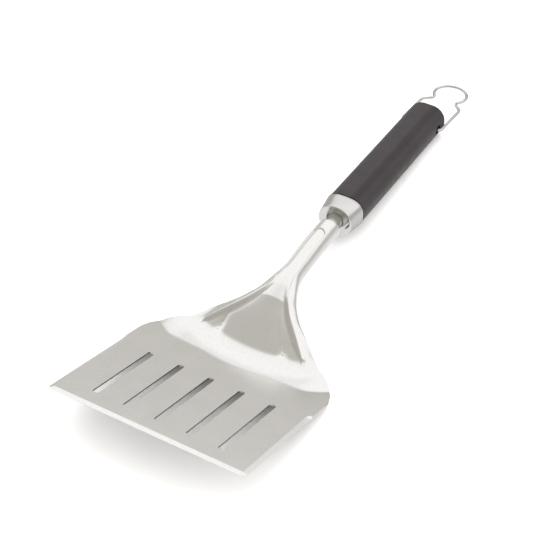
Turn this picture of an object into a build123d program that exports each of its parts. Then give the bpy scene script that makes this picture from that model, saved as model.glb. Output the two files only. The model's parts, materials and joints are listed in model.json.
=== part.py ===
"""Wide slotted grill spatula, lying at rest on its heel and on the rear end of its grip.

X runs across the blade, Y from the blade's front edge to the hanging loop, Z up. Millimetres.
The origin is the middle of the underside of the whole object's box.
"""

from build123d import *
from math import acos, atan2, cos, hypot, radians, sin, sqrt, tan
import os

# ---- how the object lies ------------------------------------------------------------------
BLADE_TILT = 20.018         # the blade's front edge is raised by this angle, degrees
HANDLE_RISE = 16.1          # angle from the blade's plane up to the handle's axis
BLADE_ORIGIN = Vector(0, -224.249, 43.826)      # middle of the flat's front edge, on the top face

# ---- pressed sheet: blade, heel and neck --------------------------------------------------
SHEET = 1.4
BLADE_HALF = 72.6           # half width over the ground side edges
BLADE_FLAT = 98.0           # length of the flat plate behind the inner front edge
BEVEL_WIDTH = 3.3
BEVEL_DEPTH = 1.1
BEVEL_END = 80.5            # where the ground side edges start to run out
BEVEL_RUNOUT = 6.0
BEVEL_FADE = 0.01           # share of the bevel left where the runout stops
FRONT_CORNER = 3.6
SLOT_COUNT = 5
SLOT_PITCH = 23.3
SLOT_WIDTH = 4.4
SLOT_START = 12.0
SLOT_END = 79.3
SLOT_CORNER = 0.9
NECK_RADIUS = 7.7
NECK_WRAP = 152.0           # degrees of sheet each side of the neck's crown
NECK_END = 237.0
FAN_CENTRE = 223.6          # the bend lines of the heel are arcs about this point
ROLL = (130.0, 152.0)       # the heel's sides roll up towards the neck between these sections
WRAP = (150.0, 185.0)       # and close round the shaft between these
HEEL_STOP = 190.0           # nothing of the heel's own shape is left behind this section
CROWN = ((0, 0), (116.5, 0), (168.0, 48.8), (208.0, 63.1), (240.0, 72.34))   # (y, z) of the ridge line
CROWN_BENDS = (38.0, 45.0, 200.0)
OUTLINE = ((0, BLADE_HALF), (120.8, BLADE_HALF), (158.6, 7.9), (240.0, NECK_RADIUS))  # (y, half width)
OUTLINE_BENDS = (45.0, 46.0)
STATIONS = 25               # sections from the flat plate to the neck's end
STEPS = 14                  # points on each half of a section
PANEL = (122.0, 132.0)      # the fan panel between the two ribs sinks in over these sections
PANEL_DEPTH = 1.0
PANEL_STOP = 180.0          # from here on only the outer face is recessed
PANEL_SHARE = (0.42, 0.66)  # recess whole up to the first share of the half section, gone at the second
CHANNEL = (216.0, 210.0)    # the channel along the neck dies out over these sections
CHANNEL_DEPTH = 0.6
CHANNEL_START = 160.0
CHANNEL_SHARE = (0.26, 0.42)
NORMAL_STEP = 0.001         # spacing of the points that give the sheet's direction
NECK_CUT = 20.8             # slant of the neck's rear end, degrees
NECK_STOP = -6.6            # where the slanted end crosses the handle's axis

# ---- handle, measured along its axis from the ferrule's front rim -------------------------
HANDLE_START = (0, 235.2, 63.0)             # on the blade's own axes
SHAFT_RADIUS = 6.05
SHAFT_BORE = 4.8
SHAFT_START = -28.0
SHAFT_END = 24.0
WELD_START = -26.0
WELD_END = -8.0
WELD_RADIUS = 7.3
WELD_SPREAD = 27.0
FERRULE_LENGTH = 15.7
FERRULE_POCKET = 8.0
FERRULE_RIM = (26.6, 25.6, 12.2)            # width, height, corner radius
GRIP_FRONT = (30.0, 24.9, 11.6)
GRIP_REAR = (29.3, 24.2, 11.3)
DISH_RADIUS = 11.9
DISH_MIDDLE = (10.3, 3.0)                   # radius and depth halfway down the dish
DISH_DEPTH = 4.8
RIM_EDGE = 0.6
SEAL = 0.7
GRIP_END = 155.1
GRIP_EDGE = 2.6
CORE = (25.2, 20.1, 9.2)
CORE_END = 152.0
ROD_RADIUS = 3.0
ROD_CHAMFER = 0.6
ROD_START = 6.0
ROD_END = 134.0
WASHER_START = 126.8
WASHER = 1.2
NUT_WIDTH = 10.0
NUT = 5.0
NUT_POCKET = 7.5
NUT_GAP = 0.4
PLUG = (19.0, 14.0, 6.4)
PLUG_START = 135.0
CAP = (21.4, 16.4, 7.6)
CAP_END = 154.7
CAP_EDGE = 1.0

# ---- hanging loop -------------------------------------------------------------------------
PIVOT = 141.6               # along the handle's axis
LOOP_DROOP = 4.0            # how far the loop hangs below the handle's axis, degrees
WIRE = 1.1                  # radius
WIRE_CLEARANCE = 0.05
WIRE_TIP = 6.0
LEG = 16.5                  # half distance between the two legs
LEG_LENGTH = 36.3
LEG_BEND = 2.2
WAIST = (9.2, 43.7)
WAIST_BEND = 1.9
HEAD_CENTRE = 54.6
HEAD = 13.2
POCKET_RADIUS = 3.8
CORE_HOLE = 1.6

tilt = radians(BLADE_TILT)
rise = radians(HANDLE_RISE)
BLADE = Plane(origin=BLADE_ORIGIN, x_dir=(1, 0, 0), z_dir=(0, sin(tilt), cos(tilt)))
HANDLE = Plane(
    origin=BLADE.from_local_coords(Vector(*HANDLE_START)),
    x_dir=(-1, 0, 0),
    z_dir=(0, cos(tilt - rise), -sin(tilt - rise)),
)                           # its local z runs to the rear, its local y up
droop = tilt - rise + radians(LOOP_DROOP)
LOOP = Plane(
    origin=HANDLE.from_local_coords(Vector(0, 0, PIVOT)),
    x_dir=(1, 0, 0),
    z_dir=(0, sin(droop), cos(droop)),
)                           # its local y runs to the loop's head
SIDEWAYS = Plane(origin=LOOP.origin, x_dir=(0, 1, 0), z_dir=(1, 0, 0))


def rounded_run(at, corners, radii):
    """Height over the position `at` of a run of straight lines with filleted corners."""
    for before, corner, after, radius in zip(corners, corners[1:], corners[2:], radii):
        incoming = atan2(corner[1] - before[1], corner[0] - before[0])
        outgoing = atan2(after[1] - corner[1], after[0] - corner[0])
        reach = radius * tan(abs(outgoing - incoming) / 2)
        start = corner[0] - reach * cos(incoming)
        stop = corner[0] + reach * cos(outgoing)
        if at < start:
            return corner[1] + (at - corner[0]) * tan(incoming)
        if at <= stop:
            side = 1 if outgoing > incoming else -1
            centre = start - side * radius * sin(incoming)
            base = corner[1] - reach * sin(incoming) + side * radius * cos(incoming)
            return base - side * sqrt(radius**2 - (at - centre) ** 2)
    return corner[1] + (at - corner[0]) * tan(outgoing)


def ease(value, start, stop):
    """0 on the near side of start, 1 beyond stop, and a smooth step between."""
    part = min(max((value - start) / (stop - start), 0), 1)
    return part * part * (3 - 2 * part)


def outer_skin(y, share):
    """Point on the sheet's outer face; share runs from -1 to 1 across one section."""
    half = rounded_run(y, OUTLINE, OUTLINE_BENDS)
    turn = share * radians(90 + (NECK_WRAP - 90) * ease(y, *WRAP))
    rolled = ease(y, *ROLL)
    x = half * ((1 - rolled) * share + rolled * sin(turn))
    crown = rounded_run(y, CROWN, CROWN_BENDS)
    heel = 0
    if y < HEEL_STOP:
        heel = rounded_run(FAN_CENTRE - hypot(x, FAN_CENTRE - y), CROWN, CROWN_BENDS)
    tube = crown - NECK_RADIUS / cos(rise) * (1 - cos(turn))
    return Vector(x, y, (1 - rolled) * heel + rolled * tube)


def recess(y, share, face):
    """How far a point of the section is pressed in: fully between the ribs, not at all outside."""
    whole, gone = PANEL_SHARE if y < CHANNEL_START else CHANNEL_SHARE
    depth = PANEL_DEPTH
    if y >= PANEL_STOP:
        depth = CHANNEL_DEPTH if face == 0 else 0
    return depth * ease(abs(share), gone, whole) * ease(y, *PANEL) * ease(y, *CHANNEL)


def section(y, face):
    """Points of one section of the sheet: face is 0 on its outside and SHEET on its inside."""
    points = []
    for index in range(-STEPS, STEPS + 1):
        share = index / STEPS
        right = outer_skin(y, min(share + NORMAL_STEP, 1))
        left = outer_skin(y, max(share - NORMAL_STEP, -1))
        along = outer_skin(y + NORMAL_STEP, share) - outer_skin(y - NORMAL_STEP, share)
        normal = (right - left).cross(along).normalized()
        upright = Vector(normal.X, 0, normal.Z)
        sunk = outer_skin(y, share) - upright.normalized() * (face / upright.length)
        points.append((sunk.X, sunk.Z - recess(y, share, face)))
    return points


def across_blade(y):
    """Plane of one section: local x across the blade, local y away from its top face."""
    return Plane(BLADE.from_local_coords(Vector(0, y, 0)), x_dir=(1, 0, 0), z_dir=-BLADE.y_dir)


def oval(width, height, corner, mode=Mode.ADD):
    """Cross-section of the grip family: a rectangle with very round corners."""
    return RectangleRounded(width, height, corner, mode=mode)


def save(piece, name):
    """Label one finished piece and write it."""
    piece.part.label = name
    export_step(piece.part, f"parts/{name}.step")


UP = Axis(BLADE.origin, BLADE.z_dir)
BACK = Axis(BLADE.origin, BLADE.y_dir)
HANDLE_AXIS = Axis(HANDLE.origin, HANDLE.z_dir)
os.makedirs("parts", exist_ok=True)

# ---- turner blade -------------------------------------------------------------------------
with BuildPart() as turner_blade:
    with BuildSketch(BLADE):
        with Locations((0, (BEVEL_END - BEVEL_WIDTH) / 2)):
            Rectangle(2 * BLADE_HALF, BEVEL_END + BEVEL_WIDTH)
    extrude(amount=-SHEET)
    fillet(turner_blade.edges().filter_by(UP).sort_by(BACK)[:2], FRONT_CORNER)
    top_face = turner_blade.faces().sort_by(UP)[-1]
    ground_edges = top_face.edges().sort_by(BACK)[:-1]
    chamfer(ground_edges, length=BEVEL_WIDTH, length2=BEVEL_DEPTH, reference=top_face)
    with BuildSketch(BLADE):
        with Locations((0, (BEVEL_END + BLADE_FLAT) / 2)):
            Rectangle(2 * BLADE_HALF, BLADE_FLAT - BEVEL_END)
    extrude(amount=-SHEET)
    with BuildSketch(BLADE):
        with Locations((0, (SLOT_START + SLOT_END) / 2)):
            with GridLocations(SLOT_PITCH, 0, SLOT_COUNT, 1):
                RectangleRounded(SLOT_WIDTH, SLOT_END - SLOT_START, SLOT_CORNER)
    extrude(amount=-SHEET, mode=Mode.SUBTRACT)
    for side in (-1, 1):
        for y, width, depth in (
            (BEVEL_END, BEVEL_WIDTH, BEVEL_DEPTH),
            (BEVEL_END + BEVEL_RUNOUT, BEVEL_WIDTH * BEVEL_FADE, BEVEL_DEPTH * BEVEL_FADE),
        ):
            with BuildSketch(across_blade(y)):
                edge = side * BLADE_HALF
                with BuildLine():
                    Polyline((edge, 0), (edge - side * width, 0), (edge, -depth), (edge, 0))
                make_face()
        loft(mode=Mode.SUBTRACT)

with BuildPart() as heel_and_neck:
    for index in range(STATIONS):
        y = BLADE_FLAT + (NECK_END - BLADE_FLAT) * index / (STATIONS - 1)
        with BuildSketch(across_blade(y)):
            with BuildLine():
                outer = Spline(*section(y, 0))
                inner = Spline(*section(y, SHEET))
                Line(outer @ 0, inner @ 0)
                Line(outer @ 1, inner @ 1)
            make_face()
    loft()
    neck_end = Plane(
        HANDLE.from_local_coords(Vector(0, 0, NECK_STOP)),
        x_dir=(1, 0, 0),
        z_dir=HANDLE.z_dir * cos(radians(NECK_CUT)) + HANDLE.y_dir * sin(radians(NECK_CUT)),
    )
    split(bisect_by=neck_end, keep=Keep.BOTTOM)
with turner_blade:
    add(heel_and_neck.part)
save(turner_blade, "turner_blade")

# ---- shaft --------------------------------------------------------------------------------
with BuildPart() as shaft_tube:
    with BuildSketch(HANDLE.offset(SHAFT_START)):
        Circle(SHAFT_RADIUS)
        Circle(SHAFT_BORE, mode=Mode.SUBTRACT)
    extrude(amount=SHAFT_END - SHAFT_START)
save(shaft_tube, "shaft_tube")

with BuildPart() as neck_weld:
    with BuildSketch(HANDLE.offset(WELD_START)):
        with BuildLine():
            below = CenterArc((0, 0), SHAFT_RADIUS, -90 - WELD_SPREAD, 2 * WELD_SPREAD)
            above = CenterArc((0, 0), WELD_RADIUS, -90 - WELD_SPREAD, 2 * WELD_SPREAD)
            Line(below @ 0, above @ 0)
            Line(below @ 1, above @ 1)
        make_face()
    extrude(amount=WELD_END - WELD_START)
save(neck_weld, "neck_weld")

with BuildPart() as shaft_bush:
    with BuildSketch(HANDLE.offset(ROD_START)):
        Circle(SHAFT_BORE)
        Circle(ROD_RADIUS, mode=Mode.SUBTRACT)
    extrude(amount=SHAFT_END - ROD_START)
save(shaft_bush, "shaft_bush")

with BuildPart() as tie_rod:
    with BuildSketch(HANDLE.offset(ROD_START)):
        Circle(ROD_RADIUS)
    extrude(amount=ROD_END - ROD_START)
    chamfer(tie_rod.faces().sort_by(HANDLE_AXIS)[-1].edges(), ROD_CHAMFER)
save(tie_rod, "tie_rod")

# ---- ferrule and seal ---------------------------------------------------------------------
with BuildPart() as ferrule:
    with BuildSketch(HANDLE):
        oval(*FERRULE_RIM)
    with BuildSketch(HANDLE.offset(FERRULE_LENGTH)):
        oval(*GRIP_FRONT)
    loft()
    fillet(ferrule.faces().sort_by(HANDLE_AXIS)[0].edges(), RIM_EDGE)
    fillet(ferrule.faces().sort_by(HANDLE_AXIS)[-1].edges(), RIM_EDGE)
    with BuildSketch(Plane(HANDLE.origin, x_dir=HANDLE.y_dir, z_dir=HANDLE.x_dir)):
        with BuildLine():
            ThreePointArc(
                (DISH_RADIUS, 0),
                (DISH_MIDDLE[0], -DISH_MIDDLE[1]),
                (SHAFT_RADIUS, -DISH_DEPTH),
            )
            Polyline((SHAFT_RADIUS, -DISH_DEPTH), (0, -DISH_DEPTH), (0, 0), (DISH_RADIUS, 0))
        make_face()
    revolve(axis=HANDLE_AXIS, mode=Mode.SUBTRACT)
    with BuildSketch(HANDLE):
        Circle(SHAFT_RADIUS)
    extrude(amount=FERRULE_LENGTH, mode=Mode.SUBTRACT)
    with BuildSketch(HANDLE.offset(FERRULE_POCKET)):
        oval(*CORE)
    extrude(amount=FERRULE_LENGTH - FERRULE_POCKET, mode=Mode.SUBTRACT)
save(ferrule, "ferrule")

with BuildPart() as seal_ring:
    with BuildSketch(HANDLE.offset(FERRULE_LENGTH)):
        oval(GRIP_FRONT[0] - 2 * SEAL, GRIP_FRONT[1] - 2 * SEAL, GRIP_FRONT[2] - SEAL)
        oval(*CORE, mode=Mode.SUBTRACT)
    extrude(amount=SEAL)
save(seal_ring, "seal_ring")

# ---- grip ---------------------------------------------------------------------------------
with BuildPart() as grip_core:
    with BuildSketch(HANDLE.offset(FERRULE_POCKET)):
        oval(*CORE)
    extrude(amount=CORE_END - FERRULE_POCKET)
    with BuildSketch(HANDLE.offset(FERRULE_POCKET)):
        Circle(SHAFT_RADIUS)
    extrude(amount=SHAFT_END - FERRULE_POCKET, mode=Mode.SUBTRACT)
    with BuildSketch(HANDLE.offset(SHAFT_END)):
        Circle(ROD_RADIUS)
    extrude(amount=WASHER_START - SHAFT_END, mode=Mode.SUBTRACT)
    with BuildSketch(HANDLE.offset(WASHER_START)):
        Circle(NUT_POCKET)
    extrude(amount=PLUG_START - WASHER_START, mode=Mode.SUBTRACT)
    with BuildSketch(HANDLE.offset(PLUG_START)):
        oval(*PLUG)
    extrude(amount=CORE_END - PLUG_START, mode=Mode.SUBTRACT)
    with BuildSketch(SIDEWAYS):
        Circle(CORE_HOLE)
    extrude(amount=CORE[0], both=True, mode=Mode.SUBTRACT)
save(grip_core, "grip_core")

with BuildPart() as grip_sleeve:
    with BuildSketch(HANDLE.offset(FERRULE_LENGTH + SEAL)):
        oval(*GRIP_FRONT)
    with BuildSketch(HANDLE.offset(GRIP_END)):
        oval(*GRIP_REAR)
    loft()
    fillet(grip_sleeve.faces().sort_by(HANDLE_AXIS)[-1].edges(), GRIP_EDGE)
    with BuildSketch(HANDLE.offset(FERRULE_LENGTH + SEAL)):
        oval(*CORE)
    extrude(amount=CORE_END - FERRULE_LENGTH - SEAL, mode=Mode.SUBTRACT)
    with BuildSketch(HANDLE.offset(CORE_END)):
        oval(*CAP)
    extrude(amount=GRIP_END - CORE_END, mode=Mode.SUBTRACT)
    with BuildSketch(SIDEWAYS):
        Circle(POCKET_RADIUS)
    extrude(amount=GRIP_FRONT[0], both=True, mode=Mode.SUBTRACT)
save(grip_sleeve, "grip_sleeve")

with BuildPart() as lock_washer:
    with BuildSketch(HANDLE.offset(WASHER_START)):
        Circle(NUT_POCKET - NUT_GAP)
        Circle(ROD_RADIUS, mode=Mode.SUBTRACT)
    extrude(amount=WASHER)
save(lock_washer, "lock_washer")

with BuildPart() as lock_nut:
    with BuildSketch(HANDLE.offset(WASHER_START + WASHER)):
        RegularPolygon(NUT_WIDTH / 2, 6, major_radius=False)
        Circle(ROD_RADIUS, mode=Mode.SUBTRACT)
    extrude(amount=NUT)
save(lock_nut, "lock_nut")

with BuildPart() as end_plug:
    with BuildSketch(HANDLE.offset(PLUG_START)):
        oval(*PLUG)
    extrude(amount=CORE_END - PLUG_START)
    with BuildSketch(HANDLE.offset(CORE_END)):
        oval(*CAP)
    extrude(amount=CAP_END - CORE_END)
    fillet(end_plug.faces().sort_by(HANDLE_AXIS)[-1].edges(), CAP_EDGE)
    with BuildSketch(SIDEWAYS):
        Circle(WIRE + WIRE_CLEARANCE)
    extrude(amount=PLUG[0], both=True, mode=Mode.SUBTRACT)
save(end_plug, "end_plug")

# ---- hanging loop -------------------------------------------------------------------------
# The head is an arc; a straight run from the waist meets it at its tangent point.
waist_angle = atan2(WAIST[1] - HEAD_CENTRE, WAIST[0])
head_start = waist_angle + acos(HEAD / hypot(WAIST[0], WAIST[1] - HEAD_CENTRE))
head_point = (HEAD * cos(head_start), HEAD_CENTRE + HEAD * sin(head_start))
leg_points = ((WIRE_TIP, 0), (LEG, 0), (LEG, LEG_LENGTH), WAIST, head_point)
with BuildPart() as hanging_loop:
    with BuildLine(LOOP):
        FilletPolyline(*leg_points, radius=[LEG_BEND, LEG_BEND, WAIST_BEND])
        FilletPolyline(*[(-x, y) for x, y in leg_points], radius=[LEG_BEND, LEG_BEND, WAIST_BEND])
        ThreePointArc(head_point, (0, HEAD_CENTRE + HEAD), (-head_point[0], head_point[1]))
    with BuildSketch(Plane(LOOP.from_local_coords(Vector(WIRE_TIP, 0, 0)), z_dir=(1, 0, 0))):
        Circle(WIRE)
    sweep()
save(hanging_loop, "hanging_loop")

pieces = (
    turner_blade, neck_weld, shaft_tube, shaft_bush, tie_rod, ferrule, seal_ring,
    grip_core, grip_sleeve, lock_washer, lock_nut, end_plug, hanging_loop,
)
whole = Compound(children=[piece.part for piece in pieces])
print(whole.bounding_box())
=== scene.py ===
"""Looks of the slotted grill spatula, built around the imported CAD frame.

Lengths are in millimetres unless a comment says otherwise, and `MM` turns them into metres. The sheet
is drawn on the blade's own axes: x across, y to the rear from the front edge, z off the top face. The
ferrule, seal and shaft are drawn along the handle's axis, from the ferrule's front rim.
"""

import json
from math import acos, atan2, copysign, cos, exp, hypot, pi, radians, sin, sqrt, tan

import bmesh
import bpy
from mathutils import Matrix, Vector


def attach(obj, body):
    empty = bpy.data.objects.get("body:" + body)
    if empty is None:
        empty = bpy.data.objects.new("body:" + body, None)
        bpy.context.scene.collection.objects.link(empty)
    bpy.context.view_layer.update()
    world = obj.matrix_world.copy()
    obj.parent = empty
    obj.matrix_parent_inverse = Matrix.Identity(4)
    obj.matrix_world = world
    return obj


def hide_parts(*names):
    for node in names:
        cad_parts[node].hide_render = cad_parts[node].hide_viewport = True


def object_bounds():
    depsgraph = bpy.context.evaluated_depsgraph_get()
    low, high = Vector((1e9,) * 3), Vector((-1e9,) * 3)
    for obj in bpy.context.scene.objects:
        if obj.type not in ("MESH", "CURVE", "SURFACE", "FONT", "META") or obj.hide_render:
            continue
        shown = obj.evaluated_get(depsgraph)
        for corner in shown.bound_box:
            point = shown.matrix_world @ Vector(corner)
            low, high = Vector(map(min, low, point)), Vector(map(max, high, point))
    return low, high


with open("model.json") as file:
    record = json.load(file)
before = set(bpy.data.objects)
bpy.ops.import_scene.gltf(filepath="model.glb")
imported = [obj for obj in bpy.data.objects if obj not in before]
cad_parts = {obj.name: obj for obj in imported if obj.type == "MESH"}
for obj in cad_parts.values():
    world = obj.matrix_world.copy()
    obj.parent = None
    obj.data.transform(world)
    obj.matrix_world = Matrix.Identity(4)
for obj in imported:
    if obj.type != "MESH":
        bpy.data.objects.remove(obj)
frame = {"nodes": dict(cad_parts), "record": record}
cad_box = [list(corner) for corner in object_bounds()]
record = frame["record"]
MM = 0.001

# ---- axes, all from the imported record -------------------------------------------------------
mounts = {mount["name"]: mount for mount in record["mounts"]}
top_normal = Vector(mounts["blade_top"]["axis"]).normalized()
TILT = atan2(top_normal.y, top_normal.z)
RISE = radians(16.1)                    # of the handle over the blade
ACROSS = Vector((1, 0, 0))
ALONG = Vector((0, cos(TILT), -sin(TILT)))
MOUNT_AT = (11.65, 45.65)               # where the blade_top mount sits on the blade's axes
BLADE_ORIGIN = Vector(mounts["blade_top"]["pos_m"]) - MM * (MOUNT_AT[0] * ACROSS + MOUNT_AT[1] * ALONG)
PIVOT = Vector(record["behaviour"]["joints"][0]["pos_m"])
PIVOT_AT = 141.6                        # from the ferrule's rim to the loop's hinge
REARWARD = Vector((0, cos(TILT - RISE), -sin(TILT - RISE)))
UPWARD = Vector((0, sin(TILT - RISE), cos(TILT - RISE)))
HANDLE_ORIGIN = PIVOT - MM * PIVOT_AT * REARWARD


def on_blade(point):
    """Blade coordinates to the row frame in metres."""
    return BLADE_ORIGIN + MM * (point[0] * ACROSS + point[1] * ALONG + point[2] * top_normal)


def on_handle(x, up, s):
    """Handle coordinates (s along the axis from the ferrule's rim) to the row frame in metres."""
    return HANDLE_ORIGIN + MM * (x * ACROSS + up * UPWARD + s * REARWARD)


# ---- sizes of the pressed sheet -------------------------------------------------------------
SHEET = 1.4                             # thickness
EDGE = 0.18                             # rounding of the sheet's cut edges
BLADE_HALF = 72.6
BLADE_FLAT = 98.0                       # length of the plain plate
FRONT_CORNER = 3.6
BEVEL_WIDTH = 3.3
BEVEL_DEPTH = 1.1
BEVEL_END = 80.5
BEVEL_RUNOUT = 4.8
SLOT_COUNT = 5
SLOT_PITCH = 23.3
SLOT_WIDTH = 4.4
SLOT_START = 12.0
SLOT_END = 79.3
SLOT_CORNER = 0.9
NECK_RADIUS = 8.2
NECK_WRAP = 152.0                       # degrees that the neck reaches down each side
NECK_CUT = radians(20.8)                # slant of the neck's rear end
NECK_RIM = (0, 235.2, 63.0)             # the ferrule's rim on the handle's axis
NECK_STOP = -6.6                        # the neck's rear end, from that rim
NECK_SEARCH = (190.0, 260.0)            # that end is looked for between these
SHEAR_FROM = 200.0                      # rows behind this lean towards the slanted end
ROLL = (124.0, 157.0)                   # the flat section turns into a tube over this run
WRAP = (150.0, 185.0)                   # and the tube's sides reach down over this one
HEEL_STOP = 190.0
FAN_CENTRE = 223.6                      # the heel is a dish about this point

# profile over the middle of the sheet: the skin the ribs stand on, and the floor between them
CROWN = ((0, 0), (115.6, 0), (152.5, 33.8), (167, 45.6), (208, 63.1), (240, 72.34))
CROWN_BENDS = (30.0, 30.0, 45.0, 200.0)
FLOOR = ((0, 0), (115.8, 0), (152.0, 33.15), (166.5, 44.4), (208, 62.3), (240, 71.54))
FLOOR_BENDS = (30.0, 12.0, 70.0, 200.0)
FLOOR_UNDER = (150, 165)                # the sheet's underside stops following the floor over this run
OUTLINE = ((0, BLADE_HALF), (120.8, BLADE_HALF), (157.8, 8.0), (240.0, NECK_RADIUS))
OUTLINE_BENDS = (33.0, 43.0)

# where the blade starts to bend up, from the middle out, and the slope of the flange behind that
BEND_LINE = (
    (0, 102.3), (12, 103), (26, 105.6), (40, 106.6), (51.5, 108.2), (61, 114), (66, 119), (75, 128),
)
FLANGE_SLOPE = 0.11
FLANGE_EXTRA = 0.14                     # more slope near the sides
FLANGE_SIDES = (42, 62)
FLANGE_BEND = 3.0                       # length over which the flange takes up its slope

# half distance of each rib's crest from the middle, and its height over the skin
RIB_LINE = (
    (90, 63), (98, 62), (105, 60), (112, 57.5), (118, 54), (124, 47), (128, 41.5), (132, 37.4),
    (137, 30.5), (142, 23.3), (147, 17.5), (152, 13.0), (157, 9.4), (162, 7.2), (167, 6.1),
    (172, 5.6), (182, 5.2), (192, 5.0), (209, 4.8), (240, 4.4),
)
RIB_RISE = (
    (90, 0), (124, 0), (130.3, 0.08), (132.4, 0.95), (135.5, 1.5), (140, 1.9), (145, 2.1),
    (151, 1.6), (158, 0.8), (166, 0.3), (178, 0), (240, 0),
)
RIB_SHARE_MOST = 0.95                   # a crest stays inside the sheet's edge
RIB_TOE = (130.2, 132.4)                # the ribs' inner walls begin over this run
RIB_ROOF = 0.34                         # slope of a rib's outer side
RIB_ROOF_TOE = 1.3                      # and the steeper slope at its toe
RIB_ROOF_RUN = (131, 143)
RIB_CREST = 0.8                         # half width of the rounded crest
RIB_LEAST = 0.3                         # keeps the roof's fall finite where a rib is low
RIB_INNER = (0.2, 3.6)                  # distance over which a rib falls to the panel
HEEL_FADE = (146, 162)                  # the wide panel wall gives way to the channel's over this run
PANEL_WALL = -4.2                       # foot of the wall, from the crest
CHANNEL_WALL = -0.7
WALL_TOP = -0.05
CHANNEL_END = (213.4, 214.0)
CHANNEL_BOW = 0.13                      # the channel's end curves forward by this times x squared
RIM_FROM = 205
RIM = (0.12, 214.7, 0.6)                # height, place and width of the rim round the channel's end
RIM_SIDES = (4.0, 5.5)
GROOVE = (-0.04, -3.9, 1.2)             # height, place from the crest, and width
GROOVE_FADE = (140, 156)
NOTCH = (-1.0, 26.0, 3.4)               # bright notch between the panel's corner and the groove's toe
NOTCH_START = (121, 131)
NOTCH_END = (131, 146)
FLANK = -0.85                           # how far the skin outside each rib is let down
FLANK_SIDE = (0, 10)
FLANK_START = (128.5, 136)
FLANK_END = (139, 156)

# the mesh: (columns, crowding) each side of the rib, and (rows as far as, spacing) along the heel
INNER_COLUMNS = (44, 1.7)
OUTER_COLUMNS = (28, 1.6)
ROW_RUNS = ((109, 1.0), (112, 0.8), (160, 0.5), (208, 0.9), (217, 0.3), (236, 0.8))
SIDE_STATIONS = (7, 10)                 # beside the blade: count and spacing
REAR_STATIONS = (8, 1.5)                # the same behind the end of the ground edge
FRONT_STATIONS = 12                     # from the front corner to the middle
CORNER_STEP = 10                        # degrees
SAME_POINT = 1e-4                       # nearer than this, two outline points are one
HALVINGS = 40                           # steps of each search by halving
NUDGE = 0.01                            # step for slopes, in mm and in shares of the half section


# ---- curves ---------------------------------------------------------------------------------
def rounded_run(at, corners, radii):
    """Height over the position `at` of a run of straight lines with filleted corners."""
    for before, corner, after, radius in zip(corners, corners[1:], corners[2:], radii):
        incoming = atan2(corner[1] - before[1], corner[0] - before[0])
        outgoing = atan2(after[1] - corner[1], after[0] - corner[0])
        reach = radius * tan(abs(outgoing - incoming) / 2)
        start = corner[0] - reach * cos(incoming)
        stop = corner[0] + reach * cos(outgoing)
        if at < start:
            return corner[1] + (at - corner[0]) * tan(incoming)
        if at <= stop:
            side = 1 if outgoing > incoming else -1
            centre = start - side * radius * sin(incoming)
            base = corner[1] - reach * sin(incoming) + side * radius * cos(incoming)
            return base - side * sqrt(max(radius**2 - (at - centre) ** 2, 0))
    return corner[1] + (at - corner[0]) * tan(outgoing)


def ease(value, start, stop):
    """0 on the near side of start, 1 beyond stop, and a smooth step between."""
    part = min(max((value - start) / (stop - start), 0), 1)
    return part * part * (3 - 2 * part)


def hump(value, height, centre, width):
    """Smooth bump, or a dent where the height is negative."""
    return height * exp(-(((value - centre) / width) ** 2))


def through(at, points):
    """Smooth curve through the points, without overshoot."""
    last = len(points) - 1
    index = 0
    while index < last - 1 and at > points[index + 1][0]:
        index += 1
    (x0, y0), (x1, y1) = points[index], points[index + 1]
    slope = (y1 - y0) / (x1 - x0)
    ends = []
    for number in (index, index + 1):
        if number in (0, last):
            ends.append(slope)
            continue
        before = (points[number][1] - points[number - 1][1]) / (points[number][0] - points[number - 1][0])
        after = (points[number + 1][1] - points[number][1]) / (points[number + 1][0] - points[number][0])
        ends.append(0 if before * after <= 0 else 2 * before * after / (before + after))
    t = (at - x0) / (x1 - x0)
    span = x1 - x0
    return (
        (2 * t**3 - 3 * t**2 + 1) * y0 + (t**3 - 2 * t**2 + t) * span * ends[0]
        + (3 * t**2 - 2 * t**3) * y1 + (t**3 - t**2) * span * ends[1]
    )


def search(low, high, too_low):
    """Value between low and high at which `too_low` turns false."""
    for _ in range(HALVINGS):
        middle = (low + high) / 2
        if too_low(middle):
            low = middle
        else:
            high = middle
    return low


# ---- shape of the pressed sheet -------------------------------------------------------------
def outline_half(y):
    return rounded_run(y, OUTLINE, OUTLINE_BENDS)


def half_turn(y):
    """Angle from the middle of the section to its edge, once it is rolled."""
    return radians(90 + (NECK_WRAP - 90) * ease(y, *WRAP))


def heel_height(x, y, profile, bends):
    """Height of the open part of the heel, a dish about the fan's centre over a shallow flange."""
    dish = rounded_run(FAN_CENTRE - hypot(x, FAN_CENTRE - y), profile, bends)
    past = max(y - through(abs(x), BEND_LINE), 0)
    slope = FLANGE_SLOPE + FLANGE_EXTRA * ease(abs(x), *FLANGE_SIDES)
    flange = slope * (past * past / (2 * FLANGE_BEND) if past < FLANGE_BEND else past - FLANGE_BEND / 2)
    return (max(dish, 0) ** 3 + flange**3) ** (1 / 3)


def smooth_skin(y, share, profile=CROWN, bends=CROWN_BENDS):
    """Sheet's outer face before its panel, ribs and channel are pressed.

    `share` is the place across the section, from -1 at the left edge to 1 at the right edge.
    """
    turn = share * half_turn(y)
    rolled = ease(y, *ROLL)
    x = outline_half(y) * ((1 - rolled) * share + rolled * sin(turn))
    heel = heel_height(x, y, profile, bends) if y < HEEL_STOP else 0
    tube = rounded_run(y, profile, bends) - NECK_RADIUS / cos(RISE) * (1 - cos(turn))
    return Vector((x, y, (1 - rolled) * heel + rolled * tube))


def skin_normal(y, share):
    right = smooth_skin(y, min(share + NUDGE, 1))
    left = smooth_skin(y, max(share - NUDGE, -1))
    along = smooth_skin(y + NUDGE, share) - smooth_skin(y - NUDGE, share)
    return (right - left).cross(along).normalized()


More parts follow.
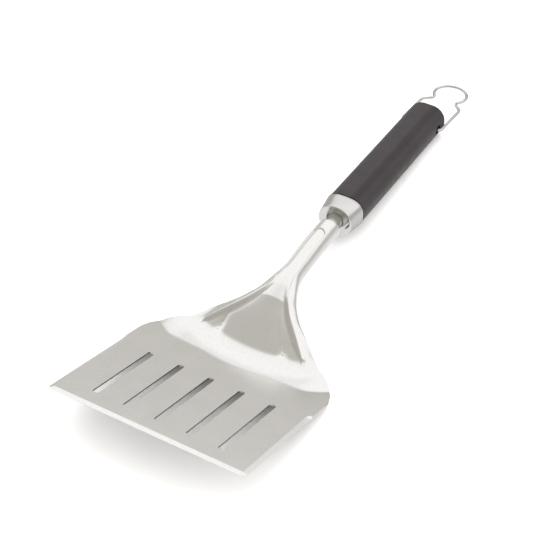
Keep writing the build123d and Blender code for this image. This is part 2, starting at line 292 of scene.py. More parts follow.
def rib_share(y):
    """Share of the half section at which the rib's crest runs."""
    target = through(y, RIB_LINE)
    half, turn, rolled = outline_half(y), half_turn(y), ease(y, *ROLL)
    return search(
        0.0, min(RIB_SHARE_MOST, radians(90) / turn),
        lambda share: half * ((1 - rolled) * share + rolled * sin(share * turn)) < target,
    )


def neck_end_row(share):
    """Position along the blade at which one column meets the slanted end of the neck."""
    tilt = RISE + NECK_CUT
    rear = Vector((0, cos(tilt), sin(tilt)))
    stop = Vector(NECK_RIM) + NECK_STOP * Vector((0, cos(RISE), sin(RISE)))
    return search(*NECK_SEARCH, lambda y: (smooth_skin(y, share) - stop).dot(rear) < 0)


def pressing(y, x, crest, lean):
    """Share of the floor in the sheet's outer face, and the height pressed out of it.

    `lean` is the slope of the rib's line, so that widths are counted square to the rib.
    """
    size = abs(x)
    off = (size - crest) / sqrt(1 + lean * lean)
    heel = 1 - ease(y, *HEEL_FADE)
    wall = PANEL_WALL * heel + CHANNEL_WALL * (1 - heel)
    ending = y + CHANNEL_BOW * x * x
    inside = (1 - ease(off, wall, WALL_TOP)) * (1 - ease(ending, *CHANNEL_END))
    rim = hump(ending, *RIM) * (1 - ease(size, *RIM_SIDES)) if y > RIM_FROM else 0
    # ribs: a roof that falls away slowly on the outside, and a steeper fall to the panel inside
    toe = ease(y, *RIB_TOE)
    rise = through(y, RIB_RISE)
    far = abs(off)
    roof = RIB_ROOF + (RIB_ROOF_TOE - RIB_ROOF) * (1 - ease(y, *RIB_ROOF_RUN))
    drop = roof * (far * far / (2 * RIB_CREST) if far < RIB_CREST else far - RIB_CREST / 2)
    rib = rise * exp(-drop / max(rise, RIB_LEAST))
    if off < 0:
        rib = rib * (1 - toe) + rise * (1 - ease(far, *RIB_INNER)) * toe
    groove = hump(off, *GROOVE) * toe * (1 - ease(y, *GROOVE_FADE))
    notch = hump(size, *NOTCH) * ease(y, *NOTCH_START) * (1 - ease(y, *NOTCH_END))
    # the open skin outside each rib eases off where the heel is steepest
    flank = FLANK * ease(size - crest, *FLANK_SIDE) * ease(y, *FLANK_START) * (1 - ease(y, *FLANK_END))
    return inside, rim + rib + groove + notch + flank


# ---- mesh building --------------------------------------------------------------------------
class Mesh:
    """Collects vertices and faces, and welds what meets."""

    def __init__(self):
        self.points = []
        self.faces = []

    def add(self, points):
        first = len(self.points)
        self.points.extend(Vector(point) for point in points)
        return list(range(first, len(self.points)))

    def bridge(self, one, other, closed=False):
        count = len(one)
        last = count if closed else count - 1
        for index in range(last):
            following = (index + 1) % count
            self.faces.append((one[index], one[following], other[following], other[index]))

    def bridge_all(self, rings, closed=False):
        for one, other in zip(rings, rings[1:]):
            self.bridge(one, other, closed)

    def build(self, name, body, material, weld=1e-7, sharp=28):
        """The finished piece: `weld` is in metres, and edges over `sharp` degrees stay crisp."""
        mesh = bpy.data.meshes.new(name)
        mesh.from_pydata(self.points, [], self.faces)
        work = bmesh.new()
        work.from_mesh(mesh)
        bmesh.ops.remove_doubles(work, verts=work.verts, dist=weld)
        bmesh.ops.dissolve_degenerate(work, edges=work.edges, dist=weld)
        bmesh.ops.recalc_face_normals(work, faces=work.faces)
        open_edges = sum(1 for edge in work.edges if len(edge.link_faces) != 2)
        work.to_mesh(mesh)
        work.free()
        mesh.polygons.foreach_set("use_smooth", [True] * len(mesh.polygons))
        mesh.set_sharp_from_angle(angle=radians(sharp))
        mesh.materials.append(material)
        piece = bpy.data.objects.new(name, mesh)
        bpy.context.scene.collection.objects.link(piece)
        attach(piece, body)
        print(name, len(mesh.vertices), "vertices,", open_edges, "edges not shared by two faces")
        return piece


def filled(outline, holes, height, target):
    """Flat face with holes at one height, added to the target mesh."""
    work = bmesh.new()
    edges = []
    for loop in [outline] + holes:
        corners = [work.verts.new((x, y, 0)) for x, y in loop]
        for index, corner in enumerate(corners):
            edges.append(work.edges.new((corner, corners[(index + 1) % len(corners)])))
    bmesh.ops.triangle_fill(work, use_beauty=True, use_dissolve=False, edges=edges)
    work.verts.index_update()
    numbers = target.add(on_blade((vert.co.x, vert.co.y, height)) for vert in work.verts)
    for face in work.faces:
        target.faces.append(tuple(numbers[vert.index] for vert in face.verts))
    work.free()


def rounded_loop(x, y, half_width, half_length, radius, steps=6):
    loop = []
    for quarter, (sx, sy) in enumerate(((1, 1), (-1, 1), (-1, -1), (1, -1))):
        for step in range(steps + 1):
            angle = (quarter + step / steps) * pi / 2
            loop.append((
                x + sx * (half_width - radius) + radius * cos(angle),
                y + sy * (half_length - radius) + radius * sin(angle),
            ))
    return loop


# ---- blade sheet: the heel and neck ---------------------------------------------------------
def column_spacing():
    """Columns across the sheet: 0 at the middle, 0.5 on the rib, 1 at the edge, close by the rib."""
    count, crowding = INNER_COLUMNS
    inner = [0.5 - 0.5 * (index / count) ** crowding for index in range(count, 0, -1)]
    count, crowding = OUTER_COLUMNS
    outer = [0.5 + 0.5 * (index / count) ** crowding for index in range(count + 1)]
    half = inner + outer
    return [-u for u in reversed(half) if u > 0] + half


def share_at(u, crest_share):
    """Share of the half section at which one column runs."""
    size = abs(u)
    if size <= 0.5:
        share = crest_share * size / 0.5
    else:
        share = crest_share + (1 - crest_share) * (size - 0.5) / 0.5
    return share if u >= 0 else -share


def rows_along():
    rows = [BLADE_FLAT]
    for stop, spacing in ROW_RUNS:
        while rows[-1] < stop:
            rows.append(rows[-1] + spacing)
    return rows


def heel_rows():
    """Points of the outer and the inner face, row by row from the plate to the neck's rear end."""
    columns, rows = column_spacing(), rows_along()
    top_rows, bottom_rows = [], []
    ends = {}
    for row in rows:
        crest_share = rib_share(row)
        crest = through(row, RIB_LINE)
        lean = through(row + 0.5, RIB_LINE) - through(row - 0.5, RIB_LINE)
        under = 1 - ease(row, *FLOOR_UNDER)
        top, bottom = [], []
        for u in columns:
            share = share_at(u, crest_share)
            y = row
            if row > SHEAR_FROM:
                key = round(share, 3)
                if key not in ends:
                    ends[key] = neck_end_row(share)
                y = SHEAR_FROM + (row - SHEAR_FROM) * (ends[key] - SHEAR_FROM) / (rows[-1] - SHEAR_FROM)
            base = smooth_skin(y, share)
            low = smooth_skin(y, share, FLOOR, FLOOR_BENDS)
            normal = skin_normal(y, share)
            inside, press = pressing(y, base.x, crest, lean)
            top.append(base.lerp(low, inside) + normal * press)
            bottom.append(base.lerp(low, inside * under) + normal * (press * under - SHEET))
        for face in (top, bottom):
            for edge, beside in ((0, 1), (-1, -2)):
                face[edge] = face[edge] - (face[edge] - face[beside]).normalized() * EDGE
        top_rows.append(top)
        bottom_rows.append(bottom)
    return top_rows, bottom_rows


def add_heel(mesh, top_rows, bottom_rows):
    """Both faces of the heel and neck, their rounded side edges and the neck's rear end."""
    top_ids = [mesh.add(on_blade(point) for point in row) for row in top_rows]
    bottom_ids = [mesh.add(on_blade(point) for point in row) for row in bottom_rows]
    mesh.bridge_all(top_ids)
    mesh.bridge_all(bottom_ids)
    last_top, last_bottom = top_ids[-1], bottom_ids[-1]
    for edge, beside in ((0, 1), (-1, -2)):
        upper, lower = [], []
        for top, bottom in zip(top_rows, bottom_rows):
            out = (top[edge] - top[beside]).normalized() * EDGE
            down = (bottom[edge] - top[edge]).normalized() * EDGE
            upper.append(on_blade(top[edge] + out + down))
            lower.append(on_blade(bottom[edge] + out - down))
        upper, lower = mesh.add(upper), mesh.add(lower)
        mesh.bridge_all(([row[edge] for row in top_ids], upper, lower, [row[edge] for row in bottom_ids]))
        mesh.faces.append((last_top[edge], upper[-1], lower[-1], last_bottom[edge]))
    mesh.bridge(last_top, last_bottom)


# ---- blade sheet: the flat plate ------------------------------------------------------------
def bevel_at(y):
    """Width of the ground edge beside the blade."""
    if y <= BEVEL_END:
        return BEVEL_WIDTH
    part = (y - BEVEL_END) / BEVEL_RUNOUT
    return max(BEVEL_WIDTH * sqrt(max(1 - part * part, 0)), EDGE)


def side_stations():
    """(inner corner, outer corner, depth of the outer corner) down the right side to the middle."""
    stations = []
    count, spacing = REAR_STATIONS
    ys = [BLADE_FLAT - spacing * index for index in range(count)]
    ys += [BEVEL_END + BEVEL_RUNOUT * cos(radians(angle)) for angle in range(0, 91, CORNER_STEP)]
    count, spacing = SIDE_STATIONS
    ys += [BEVEL_END - spacing * index for index in range(1, count + 1)]
    for y in ys:
        width = bevel_at(y)
        depth = max(width * BEVEL_DEPTH / BEVEL_WIDTH, EDGE)
        stations.append(((BLADE_HALF - width, y), (BLADE_HALF, y), depth))
    inner = (BLADE_HALF - BEVEL_WIDTH, 0)
    centre = (BLADE_HALF - FRONT_CORNER, FRONT_CORNER - BEVEL_WIDTH)
    stations.append(((inner[0], centre[1]), (BLADE_HALF, centre[1]), BEVEL_DEPTH))
    for angle in range(CORNER_STEP, 90, CORNER_STEP):
        turn = radians(angle)
        outer = (centre[0] + FRONT_CORNER * cos(turn), centre[1] - FRONT_CORNER * sin(turn))
        stations.append((inner, outer, BEVEL_DEPTH))
    for index in range(FRONT_STATIONS + 1):
        x = centre[0] * (1 - index / FRONT_STATIONS)
        stations.append(((min(x, inner[0]), 0), (x, -BEVEL_WIDTH), BEVEL_DEPTH))
    return stations


def tucked_under(outer):
    """Point of the underside's outline below one point of the plate's outer edge."""
    corner = Vector((copysign(BLADE_HALF - FRONT_CORNER, outer[0]), FRONT_CORNER - BEVEL_WIDTH))
    if outer[1] < corner[1] and abs(outer[0]) > abs(corner[0]):
        inward = (corner - Vector(outer)).normalized()
    elif outer[1] <= SAME_POINT - BEVEL_WIDTH:
        inward = Vector((0, 1))
    else:
        inward = Vector((-copysign(1, outer[0]), 0))
    return outer[0] + EDGE * inward[0], outer[1] + EDGE * inward[1]


def add_slot(mesh, x):
    """Walls of one slot. Returns its outline, wider by the rounding of its edges."""
    middle, reach = (SLOT_START + SLOT_END) / 2, (SLOT_END - SLOT_START) / 2
    wide = rounded_loop(x, middle, SLOT_WIDTH / 2 + EDGE, reach + EDGE, SLOT_CORNER + EDGE)
    tight = rounded_loop(x, middle, SLOT_WIDTH / 2, reach, SLOT_CORNER)
    mesh.bridge_all([
        mesh.add(on_blade((px, py, height)) for px, py in loop)
        for loop, height in ((wide, 0), (tight, -EDGE), (tight, EDGE - SHEET), (wide, -SHEET))
    ], closed=True)
    return wide


def add_plate(mesh, rear_top, rear_bottom):
    """The flat plate with its ground edges and slots, up to the heel's first row."""
    right = side_stations()
    stations = right + [((-i[0], i[1]), (-o[0], o[1]), d) for i, o, d in reversed(right[:-1])]
    under = [tucked_under(outer) for inner, outer, depth in stations]
    loops = [
        [(inner[0], inner[1], 0) for inner, outer, depth in stations],
        [(outer[0], outer[1], -depth) for inner, outer, depth in stations],
        [(outer[0], outer[1], EDGE - SHEET) for inner, outer, depth in stations],
        [(x, y, -SHEET) for x, y in under],
    ]
    mesh.bridge_all([mesh.add(on_blade(point) for point in loop) for loop in loops])
    top_outline = []
    for inner, outer, depth in stations:
        if not top_outline or (Vector(inner) - Vector(top_outline[-1])).length > SAME_POINT:
            top_outline.append(inner)
    first = -(SLOT_COUNT - 1) / 2
    slots = [add_slot(mesh, (first + index) * SLOT_PITCH) for index in range(SLOT_COUNT)]
    filled(top_outline + [(point.x, point.y) for point in rear_top[1:-1]], slots, 0, mesh)
    filled(under + [(point.x, point.y) for point in rear_bottom[1:-1]], slots, -SHEET, mesh)


def build_blade(material):
    mesh = Mesh()
    top_rows, bottom_rows = heel_rows()
    add_heel(mesh, top_rows, bottom_rows)
    add_plate(mesh, top_rows[0], bottom_rows[0])
    piece = mesh.build("blade_sheet", "spatula", material, weld=2e-6, sharp=12)
    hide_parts("turner_blade")
    return piece


# ---- ferrule, seal and shaft, drawn as rings along the handle's axis -------------------------
ROUND = 2.0                             # squareness of a circle; more is boxier
RING_POINTS = 96
FERRULE_LENGTH = 15.7
FERRULE_REAR = (15.0, 12.45, 2.8)       # half width, half height, squareness
FERRULE_FRONT = (13.3, 12.8, 2.15)
FERRULE_FACE = (12.1, 11.9, 2.05)       # where the flat front meets the dish
FRONT_ROUND = 0.8
REAR_CHAMFER = 0.15
BEAD = (0.7, 0.9, 1.1)                  # from the rear rim: end of the bead, foot of its step, wall
LIP = 0.18                              # height of that bead
SEAT = 0.35                             # step in the rear rim that the seal sits on
SEAT_INSET = 0.6
WALL_STEPS = 8
# radius and depth down the dished front
DISH = ((11.5, 0.12), (10.5, 0.36), (9.5, 0.6), (8.5, 0.85), (7.5, 1.1), (6.8, 1.3), (6.15, 1.5))
BORE_START = 5.0
SEAL = 0.68                             # how far the seal reaches behind the ferrule
SEAL_INSET = (0.55, 0.12)               # its inner and outer skin, inside the ferrule's rear outline
SEAL_CHAMFER = 0.1
SEAL_GAP = 0.02
SHAFT_RADIUS = 6.05
SHAFT_SLIT = 0.03                       # air between the shaft and the ferrule's bore
SHAFT_BORE = 4.8
SHAFT_ENDS = (-28.0, 24.0)
# place and depth of the fine turned line just ahead of the ferrule's rim
TURNED_LINE = ((-2.0, 0), (-1.85, 0.16), (-1.55, 0.16), (-1.4, 0))


def oval_ring(mesh, half_width, half_height, squareness, s):
    """Ring of points about the handle's axis."""
    ring = []
    for index in range(RING_POINTS):
        angle = 2 * pi * index / RING_POINTS
        wide = abs(cos(angle) / half_width) ** squareness
        high = abs(sin(angle) / half_height) ** squareness
        radius = (wide + high) ** (-1 / squareness)
        ring.append(on_handle(radius * cos(angle), radius * sin(angle), s))
    return mesh.add(ring)


def inset(shape, by):
    wide, high, squareness = shape
    return wide - by, high - by, squareness


def circle(radius):
    return radius, radius, ROUND


def build_lofted(name, rings, material, node, sharp=28):
    """Closed hollow piece: the rings run round its section and meet again."""
    mesh = Mesh()
    ids = [oval_ring(mesh, *ring) for ring in rings]
    mesh.bridge_all(ids + ids[:1], closed=True)
    piece = mesh.build(name, "spatula", material, sharp=sharp)
    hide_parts(node)
    return piece


def build_ferrule(material):
    rim = FERRULE_LENGTH - SEAT
    bead_end, bead_foot, wall_start = (rim - back for back in BEAD)
    rings = [
        (*inset(FERRULE_REAR, SEAT_INSET), FERRULE_LENGTH),
        (*inset(FERRULE_REAR, SEAT_INSET), rim),
        (*inset(FERRULE_REAR, REAR_CHAMFER), rim),
        (*FERRULE_REAR, rim - REAR_CHAMFER),
        (*FERRULE_REAR, bead_end),
        (*inset(FERRULE_REAR, LIP), bead_foot),
    ]
    for step in range(WALL_STEPS + 1):
        part = step / WALL_STEPS
        shape = [rear * (1 - part) + front * part for rear, front in zip(FERRULE_REAR, FERRULE_FRONT)]
        along = wall_start * (1 - part) + FRONT_ROUND * part
        rings.append((*inset(shape, LIP * (1 - part)), along))
    for angle in (20, 40, 60, 80, 90):
        turn = radians(angle)
        rings.append((
            *inset(FERRULE_FRONT, FRONT_ROUND * (1 - cos(turn))), FRONT_ROUND * (1 - sin(turn)),
        ))
    rings.append((*FERRULE_FACE, 0.0))
    rings += [(*circle(radius), depth) for radius, depth in DISH]
    rings += [(*circle(SHAFT_RADIUS + SHAFT_SLIT), along) for along in (BORE_START, FERRULE_LENGTH)]
    return build_lofted("ferrule_shell", rings, material, "ferrule")


def build_seal(material):
    """Rubber band in the gap between the ferrule and the grip, just below their skins."""
    inner, outer = (inset(FERRULE_REAR, by) for by in SEAL_INSET)
    corner = inset(outer, SEAL_CHAMFER)
    start, stop = FERRULE_LENGTH - SEAT + SEAL_GAP, FERRULE_LENGTH + SEAL
    rings = [
        (*inner, start), (*corner, start), (*outer, start + SEAL_CHAMFER),
        (*outer, stop - SEAL_CHAMFER), (*corner, stop), (*inner, stop),
    ]
    return build_lofted("seal_band", rings, material, "seal_ring", sharp=50)


def build_shaft(material):
    front, rear = SHAFT_ENDS
    section = [(SHAFT_RADIUS, front)]
    section += [(SHAFT_RADIUS - depth, along) for along, depth in TURNED_LINE]
    section += [(SHAFT_RADIUS, rear), (SHAFT_BORE, rear), (SHAFT_BORE, front)]
    rings = [(*circle(radius), along) for radius, along in section]
    return build_lofted("shaft_wall", rings, material, "shaft_tube")


# ---- hanging wire, in its own plane: x across, y from the hinge to the head ------------------
WIRE = 1.1                              # radius
WIRE_TIP = 6.0
LEG = 16.5
LEG_LENGTH = 36.3
WAIST = (8.8, 43.7)
HEAD_CENTRE = 54.6
HEAD = 13.2
WIRE_BENDS = (2.2, 5.5, 3.8)
BEND_STEPS = 9
HEAD_STEPS = 48
WIRE_SIDES = 20


def bent_line(points, radii):
    """Points along straight runs joined by arcs of the given radii."""
    line = [Vector(points[0])]
    for before, corner, after, radius in zip(points, points[1:], points[2:], radii):
        corner = Vector(corner)
        inward = (Vector(before) - corner).normalized()
        outward = (Vector(after) - corner).normalized()
        half = acos(max(min(inward.dot(outward), 1), -1)) / 2
        centre = corner + (inward + outward).normalized() * (radius / sin(half))
        start = corner + inward * (radius / tan(half)) - centre
        turn = (pi - 2 * half) * (1 if inward.cross(outward) < 0 else -1)
        for step in range(BEND_STEPS + 1):
            line.append(centre + Matrix.Rotation(turn * step / BEND_STEPS, 2) @ start)
    return line


def wire_line():
    """Middle line of the wire: right leg, waist, round head and back down the left leg."""
    waist_angle = atan2(WAIST[1] - HEAD_CENTRE, WAIST[0])
    first = waist_angle + acos(HEAD / hypot(WAIST[0], WAIST[1] - HEAD_CENTRE))
    meeting = (HEAD * cos(first), HEAD_CENTRE + HEAD * sin(first))
    side = bent_line(((WIRE_TIP, 0), (LEG, 0), (LEG, LEG_LENGTH), WAIST, meeting), WIRE_BENDS)
    line = list(side)
    for step in range(HEAD_STEPS + 1):
        angle = first + (pi - 2 * first) * step / HEAD_STEPS
        line.append(Vector((HEAD * cos(angle), HEAD_CENTRE + HEAD * sin(angle))))
    return line + [Vector((-point.x, point.y)) for point in reversed(side)]


def build_wire(material):
    line = wire_line()
    away = (Vector(mounts["loop_head"]["pos_m"]) - PIVOT).normalized()
    face = Vector(mounts["loop_head"]["axis"]).normalized()
    mesh = Mesh()
    rings = []
    for index, point in enumerate(line):
        onward = (line[min(index + 1, len(line) - 1)] - line[max(index - 1, 0)]).normalized()
        beside = Vector((onward.y, -onward.x))
        ring = []
        for number in range(WIRE_SIDES):
            angle = 2 * pi * number / WIRE_SIDES
            place = point + WIRE * cos(angle) * beside
            ring.append(PIVOT + MM * (place.x * ACROSS + place.y * away + WIRE * sin(angle) * face))
        rings.append(mesh.add(ring))
    mesh.bridge_all(rings, closed=True)
    mesh.faces.append(tuple(rings[0]))
    mesh.faces.append(tuple(rings[-1]))
    piece = mesh.build("bent_wire", "loop", material, sharp=50)
    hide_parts("hanging_loop")
    return piece


# ---- materials ------------------------------------------------------------------------------
def fill_ramp(ramp, stops):
    """Smooth colour ramp through the stops, (position, colour)."""
    ramp.color_ramp.interpolation = "EASE"
    marks = ramp.color_ramp.elements
    while len(marks) < len(stops):
        marks.new(0.5)
    for mark, (position, color) in zip(marks, stops):
        mark.position = position
        mark.color = (*color, 1)


class Shader:
    """One procedural material and short ways to add nodes to it.

    The color, metallic and roughness given first are the plain values on the shader's own sockets.
    Bump heights are in metres, and noise scales are per metre.
    """

    def __init__(self, name, color, metallic, roughness):
        self.material = bpy.data.materials.new(name)
        self.material.use_nodes = True
        self.tree = self.material.node_tree
        self.main = self.tree.nodes["Principled BSDF"]
        self.main.inputs["Base Color"].default_value = (*color, 1)
        self.main.inputs["Metallic"].default_value = metallic
        self.main.inputs["Roughness"].default_value = roughness
        self.place = self.tree.nodes.new("ShaderNodeTexCoord").outputs["Object"]

    def link(self, output, target):
        self.tree.links.new(output, target)

    def noise(self, scale, detail=3.0, stretch=(1, 1, 1), turn=(0, 0, 0)):
        mapping = self.tree.nodes.new("ShaderNodeMapping")
        mapping.inputs["Scale"].default_value = stretch
        mapping.inputs["Rotation"].default_value = turn
        self.link(self.place, mapping.inputs["Vector"])
        node = self.tree.nodes.new("ShaderNodeTexNoise")
        node.inputs["Scale"].default_value = scale
        node.inputs["Detail"].default_value = detail
        self.link(mapping.outputs["Vector"], node.inputs["Vector"])
        return node.outputs["Fac"]

    def span(self, value, low, high, start=0.3, stop=0.7):
        """The value's run from start to stop, spread from low to high."""
        node = self.tree.nodes.new("ShaderNodeMapRange")
        for name, number in (("From Min", start), ("From Max", stop), ("To Min", low), ("To Max", high)):
            node.inputs[name].default_value = number
        self.link(value, node.inputs["Value"])
        return node.outputs["Result"]

    def color(self, value, dark, light):
        node = self.tree.nodes.new("ShaderNodeMix")
        node.data_type = "RGBA"
        node.inputs["A"].default_value = (*dark, 1)
        node.inputs["B"].default_value = (*light, 1)
        self.link(value, node.inputs["Factor"])
        self.link(node.outputs["Result"], self.main.inputs["Base Color"])

    def across(self, width, stops):
        """Grey level over the distance across the object: stops are (share of width, level)."""
        split = self.tree.nodes.new("ShaderNodeSeparateXYZ")
        self.link(self.place, split.inputs[0])
        ramp = self.tree.nodes.new("ShaderNodeValToRGB")
        fill_ramp(ramp, [(position, (level, level, level)) for position, level in stops])
        self.link(self.span(split.outputs["X"], 0, 1, -width / 2, width / 2), ramp.inputs["Fac"])
        return ramp.outputs["Color"]

    def rough(self, value):
        self.link(value, self.main.inputs["Roughness"])

    def bump(self, value, height, after=None):
        node = self.tree.nodes.new("ShaderNodeBump")
        node.inputs["Distance"].default_value = height
        node.inputs["Strength"].default_value = 1.0
        self.link(value, node.inputs["Height"])
        if after is not None:
            self.link(after, node.inputs["Normal"])
        self.link(node.outputs["Normal"], self.main.inputs["Normal"])
        return node.outputs["Normal"]


def scaled(color, by):
    return tuple(channel * by for channel in color)


def satin_sheet():
    """Brushed along the blade, with faint clouding."""
    shade = Shader("satin_sheet", (0.745, 0.738, 0.73), 1.0, 0.2)
    cloud = shade.noise(1100, 4, (1, 0.45, 1), (-TILT, 0, 0))
    shade.color(shade.span(cloud, 0, 1), (0.72, 0.709, 0.695), (0.77, 0.759, 0.745))
    grain = shade.noise(2600, 3, (0.5, 0.1, 0.5), (-TILT, 0, 0))
    patches = shade.noise(60, 3)
    shade.rough(shade.span(patches, 0.17, 0.21))
    first = shade.bump(grain, 0.000002)
    shade.bump(shade.noise(420, 2), 0.000004, first)
    return shade.material


def turned_tube():
    """Fine rings round the shaft. The low tint darkens it at grazing angles."""
    shade = Shader("turned_tube", (0.5, 0.485, 0.465), 1.0, 0.3)
    shade.main.inputs["Specular Tint"].default_value = (0.25, 0.25, 0.25, 1)
    rings = shade.noise(1800, 3, (0.02, 1, 0.02), (-(TILT - RISE), 0, 0))
    shade.color(shade.span(rings, 0, 1), (0.60, 0.58, 0.56), (0.80, 0.78, 0.755))
    shade.rough(shade.span(rings, 0.24, 0.36))
    shade.bump(rings, 0.000012)
    return shade.material


def polished(name, color, roughness, rim=1.0):
    """Bright metal with slight wear. A rim below 1 darkens it at grazing angles."""
    shade = Shader(name, color, 1.0, roughness)
    shade.main.inputs["Specular Tint"].default_value = (rim, rim, rim, 1)
    wear = shade.noise(90, 4)
    shade.rough(shade.span(wear, roughness * 0.8, roughness * 1.35))
    shade.color(shade.span(wear, 0, 1), scaled(color, 0.96), scaled(color, 1.02))
    shade.bump(shade.noise(700, 3), 0.0000012)
    return shade.material


def soft_grip():
    """Soft-touch skin with a fine grain, and a painted reflection: less specular in a broad band right of
    its middle, standing in for the darker lengthwise reflection along the grip.
    """
    shade = Shader("soft_grip", (0.021, 0.0187, 0.019), 0.0, 0.55)
    cloud = shade.noise(35, 5)
    shade.color(shade.span(cloud, 0, 1), (0.0212, 0.0165, 0.0180), (0.0258, 0.0206, 0.0222))
    shade.rough(shade.span(shade.noise(160, 3), 0.42, 0.52))
    grip_width = 0.03
    # painted reflection: the specular level is set lower in a band across the grip's width, to paint its
    # darker lengthwise reflection
    band = shade.across(grip_width, (
        (0.0, 0.36), (0.35, 0.42), (0.55, 0.40), (0.68, 0.2), (0.75, 0.2), (0.88, 0.38),
    ))
    shade.link(band, shade.main.inputs["Specular IOR Level"])
    first = shade.bump(shade.noise(2400, 2), 0.00002)
    shade.bump(shade.noise(500, 2), 0.00002, first)
    return shade.material


def dark_plastic(name, color, roughness, gloss=0.5):
    shade = Shader(name, color, 0.0, roughness)
    shade.main.inputs["Specular IOR Level"].default_value = gloss
    cloud = shade.noise(120, 4)
    shade.color(shade.span(cloud, 0, 1), scaled(color, 0.85), scaled(color, 1.15))
    shade.rough(shade.span(cloud, roughness * 0.9, roughness * 1.1))
    shade.bump(shade.noise(1500, 2), 0.00001)
    return shade.material


looks = {
    "brushed_sheet": satin_sheet(),
    "turned_tube": turned_tube(),
    "plain_steel": polished("machined_steel", (0.52, 0.51, 0.5), 0.32),
    "polished_metal": polished("polished_ferrule", (0.62, 0.615, 0.605), 0.11, 0.6),
    "bright_wire": polished("bright_wire", (0.64, 0.625, 0.61), 0.12, 0.08),
    "soft_grip": soft_grip(),
    "black_rubber": dark_plastic("black_rubber", (0.004, 0.0036, 0.0036), 0.7, 0.12),
    "core_plastic": dark_plastic("core_plastic", (0.045, 0.042, 0.041), 0.45),
}
for part in record["subparts"]:
    node = frame["nodes"][part["node"]]
    node.data.materials.clear()
    node.data.materials.append(looks[part["material_slot"]])

build_blade(looks["brushed_sheet"])
build_ferrule(looks["polished_metal"])
build_shaft(looks["turned_tube"])
build_seal(looks["black_rubber"])
build_wire(looks["bright_wire"])

# ---- floor and shade card, in metres --------------------------------------------------------
FLOOR_REACH = 60.0
FLOOR_DROP = 0.0002                     # below the object, so that no faces coincide
SHADE_CARD_RISE = 0.0001                      # of the shade card over the floor
SHADE_CARD_X = 0.075
SHADE_CARD_Y = (-0.23, -0.1)
MATT = 0.9


def flat_sheet(name, x, near, far, height, look, grey, specular):
    """Plain matt rectangle from -x to x and from near to far."""
    mesh = bpy.data.meshes.new(name)
    mesh.from_pydata([(-x, near, 0), (x, near, 0), (x, far, 0), (-x, far, 0)], [], [(0, 1, 2, 3)])
    surface = bpy.data.materials.new(look)
    surface.use_nodes = True
    sockets = surface.node_tree.nodes["Principled BSDF"].inputs
    sockets["Base Color"].default_value = (grey, grey, grey, 1)
    sockets["Roughness"].default_value = MATT
    sockets["Specular IOR Level"].default_value = specular
    mesh.materials.append(surface)
    thing = bpy.data.objects.new(name, mesh)
    bpy.context.scene.collection.objects.link(thing)
    thing.location.z = height
    return thing


floor_height = cad_box[0][2] - FLOOR_DROP
floor = flat_sheet("floor", FLOOR_REACH, -FLOOR_REACH, FLOOR_REACH, floor_height, "floor_white", 0.9, 0.0)
floor.visible_glossy = False
# the shade card is a dark sheet that stands in for the floor in the blade's shadow: it is seen only in
# reflections, where it paints shade on the slots' walls and the blade's underside
card = flat_sheet("card", SHADE_CARD_X, *SHADE_CARD_Y, floor_height + SHADE_CARD_RISE, "card_black", 0.13, 0.5)
card.visible_camera = False
card.visible_diffuse = False
card.visible_shadow = False

# ---- surround that the steel reflects -------------------------------------------------------
WARMTH_FROM = 0.85                      # levels below this turn slightly warm
WARMTH_LOSS = (0.08, 0.26)              # by losing this much green and blue
SKY_STRENGTH = 1.25
world = bpy.data.worlds.new("studio")
bpy.context.scene.world = world
world.use_nodes = True
sky = world.node_tree
sky_way = sky.nodes.new("ShaderNodeTexCoord").outputs["Generated"]
sky_split = sky.nodes.new("ShaderNodeSeparateXYZ")
sky.links.new(sky_way, sky_split.inputs[0])


def sky_color(level):
    warmth = max(WARMTH_FROM - level, 0)
    green, blue = (level * (1 - loss * warmth) for loss in WARMTH_LOSS)
    return level, green, blue


def sky_ramp(source, stops):
    """Grey level over one part of the direction, from -1 to 1: stops are (position, level)."""
    span = sky.nodes.new("ShaderNodeMapRange")
    span.inputs["From Min"].default_value = -1.0
    span.inputs["From Max"].default_value = 1.0
    sky.links.new(source, span.inputs["Value"])
    ramp = sky.nodes.new("ShaderNodeValToRGB")
    fill_ramp(ramp, [((position + 1) / 2, sky_color(level)) for position, level in stops])
    sky.links.new(span.outputs["Result"], ramp.inputs["Fac"])
    return ramp.outputs["Color"]


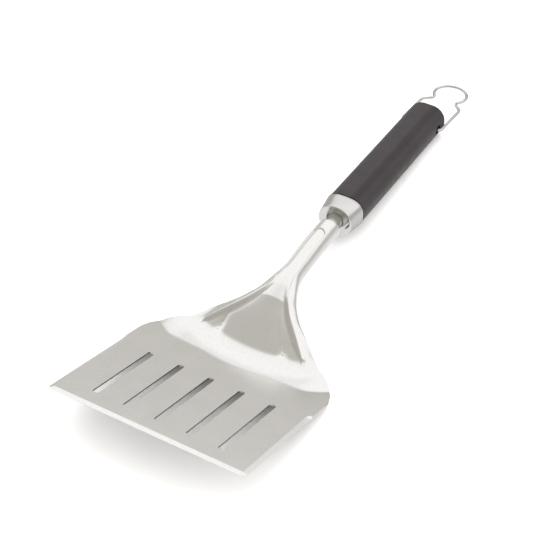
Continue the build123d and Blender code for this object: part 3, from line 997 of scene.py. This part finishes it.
rear_side = sky_ramp(sky_split.outputs["Z"], (
    (-0.6, 0.80), (-0.25, 0.70), (-0.07, 0.54), (0.245, 0.535),
    (0.35, 0.86), (0.5, 0.98), (0.6, 1.0), (0.97, 0.98),
))
front_side = sky_ramp(sky_split.outputs["Z"], (
    (-0.6, 0.92), (-0.2, 0.86), (0.0, 0.62), (0.30, 0.42), (0.62, 0.42), (0.93, 0.50),
))
facing = sky_ramp(sky_split.outputs["Y"], ((-0.01, 0.0), (0.10, 1.0)))
both = sky.nodes.new("ShaderNodeMix")
both.data_type = "RGBA"
sky.links.new(facing, both.inputs["Factor"])
sky.links.new(front_side, both.inputs["A"])
sky.links.new(rear_side, both.inputs["B"])
sky.links.new(both.outputs["Result"], sky.nodes["Background"].inputs["Color"])
sky.nodes["Background"].inputs["Strength"].default_value = SKY_STRENGTH


# ---- lamps, in metres and watts -------------------------------------------------------------
def softbox(name, position, size, power):
    """Rectangular lamp that looks at the object and isn't seen in reflections."""
    light = bpy.data.lights.new(name, "AREA")
    light.shape = "RECTANGLE"
    light.size, light.size_y = size
    light.energy = power
    holder = bpy.data.objects.new(name, light)
    bpy.context.scene.collection.objects.link(holder)
    holder.location = position
    holder.rotation_euler = (-Vector(position)).to_track_quat("-Z", "Y").to_euler()
    holder.visible_glossy = False


softbox("overhead", (0.3, -0.2, 2.6), (3.8, 3.8), 92)
softbox("front_fill", (-0.9, -1.9, 0.8), (2.2, 0.9), 11)
softbox("right_fill", (1.9, 0.3, 1.0), (2.2, 0.9), 22)

# ---- camera, placed on the blade's axes -----------------------------------------------------
SENSOR = 36.0
LENS = 104.42
CAMERA_AT = (382.25, -706.7, 517.2)
CAMERA_FORWARD = (-0.3719, 0.8166, -0.4414)
CAMERA_RIGHT = (0.8630, 0.4794, 0.1597)
FARTHEST_SEEN = 200


def blade_direction(x, y, z):
    return (x * ACROSS + y * ALONG + z * top_normal).normalized()


camera = bpy.data.objects.new("camera", bpy.data.cameras.new("camera"))
bpy.context.scene.collection.objects.link(camera)
camera.data.sensor_width = SENSOR
camera.data.lens = LENS
camera.data.clip_end = FARTHEST_SEEN
forward = blade_direction(*CAMERA_FORWARD)
rightward = blade_direction(*CAMERA_RIGHT)
rightward = (rightward - forward * rightward.dot(forward)).normalized()
upward = rightward.cross(forward)
facing_way = Matrix((rightward, upward, -forward)).transposed().to_4x4()
camera.matrix_world = Matrix.Translation(on_blade(CAMERA_AT)) @ facing_way
bpy.context.scene.camera = camera
bpy.context.scene.view_settings.view_transform = "Standard"
